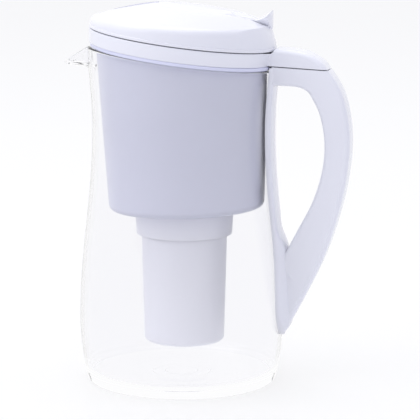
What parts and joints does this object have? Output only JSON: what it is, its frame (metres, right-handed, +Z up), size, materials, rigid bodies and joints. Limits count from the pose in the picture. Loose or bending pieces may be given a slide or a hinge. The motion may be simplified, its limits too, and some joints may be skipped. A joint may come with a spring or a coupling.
{
  "type": "water filter pitcher",
  "caption": "Clear round water filter pitcher with a white D-shaped handle, hanging hopper, filter cartridge and domed flip lid.",
  "frame": {"origin": "centre of the jug's round base, on the surface it rests on", "axes": "+X towards the handle, -X towards the spout, +Z up, Y across; the XZ plane is the mirror plane"},
  "size_m": [0.2057, 0.1452, 0.2692],
  "materials": {
    "clear_jug": "clear gloss",
    "white_gloss": "gloss",
    "white_satin": "satin",
    "hopper_white": "satin gloss",
    "filter_white": "satin",
    "badge_white": "satin",
    "seal_rubber": "matte",
    "felt": "matte",
    "carbon": "granular",
    "resin": "granular",
    "mineral": "granular",
    "steel": "brushed"
  },
  "bodies": {
    "jug_body": {"jug": "clear_jug", "handle_strap": "white_gloss", "handle_shell": "white_gloss", "handle_insert": "white_satin", "handle_screws": "steel"},
    "hopper_body": {"hopper": "hopper_white"},
    "filter_body": {"cartridge_head": "filter_white", "cartridge_seal": "seal_rubber", "inlet_cap": "filter_white", "cartridge_body": "filter_white", "top_felt": "felt", "carbon_bed": "carbon", "middle_felt": "felt", "resin_bed": "resin", "lower_felt": "felt", "mineral_bed": "mineral", "bottom_felt": "felt"},
    "lid_body": {"lid_collar": "white_gloss", "hinge_pin": "steel"},
    "flip_body": {"flip_shell": "white_gloss", "flip_liner": "white_satin", "lid_badge": "badge_white"}
  },
  "joints": [
    {"name": "hopper_lift", "type": "slide", "parent": "jug_body", "child": "hopper_body", "axis": [0, 0, 1], "range_m": [0, 0.22]},
    {"name": "cartridge_unscrew", "type": "slide", "parent": "hopper_body", "child": "filter_body", "axis": [0, 0, -1], "range_m": [0, 0.014]},
    {"name": "lid_lift", "type": "slide", "parent": "hopper_body", "child": "lid_body", "axis": [0.1253, 0, 0.9921], "range_m": [0, 0.03]},
    {"name": "lid_flip", "type": "hinge", "parent": "lid_body", "child": "flip_body", "pos_m": [0.06146, 0, 0.24097], "axis": [0, 1, 0], "range_deg": [0, 70]}
  ]
}
